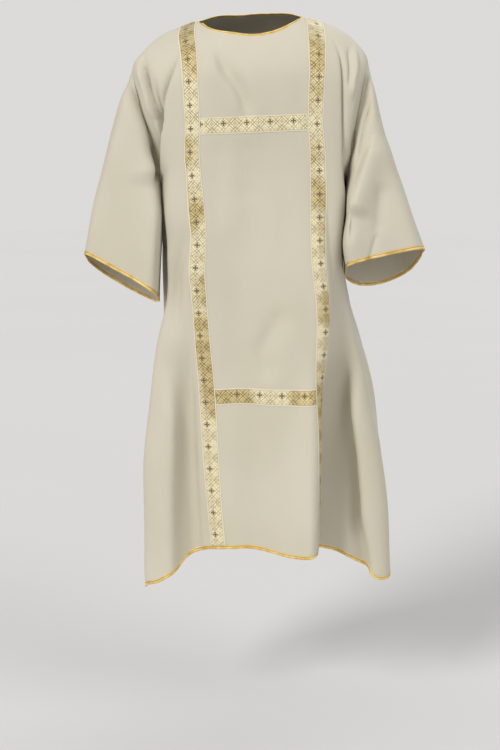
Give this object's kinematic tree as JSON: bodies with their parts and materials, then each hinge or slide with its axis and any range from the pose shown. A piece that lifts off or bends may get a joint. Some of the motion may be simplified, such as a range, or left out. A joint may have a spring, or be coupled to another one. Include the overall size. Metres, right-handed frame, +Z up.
{
  "type": "dalmatic",
  "caption": "Wide-sleeved knee-length vestment with upright and crosswise woven galloons and bound edges, hanging as worn on the shoulders.",
  "frame": {"origin": "on the wearer's shoulder line at the middle of the neck opening, where the garment rests", "axes": "+X towards the wearer's left, +Y towards the wearer's back, +Z up along the garment's length"},
  "size_m": [0.7063, 0.3965, 1.196],
  "materials": {
    "cloth": "plain woven ivory cloth with a faint sheen",
    "galloon": "woven metallic gold braid with crosses and a lattice",
    "binding": "satin gold binding"
  },
  "bodies": {
    "root": {"front": "cloth", "back": "cloth", "sleeve_left": "cloth", "sleeve_right": "cloth", "galloon_left": "galloon", "galloon_right": "galloon", "galloon_chest": "galloon", "galloon_knee": "galloon", "neck_binding": "binding", "cuff_binding_left": "binding", "cuff_binding_right": "binding", "hem_binding": "binding"}
  },
  "joints": []
}
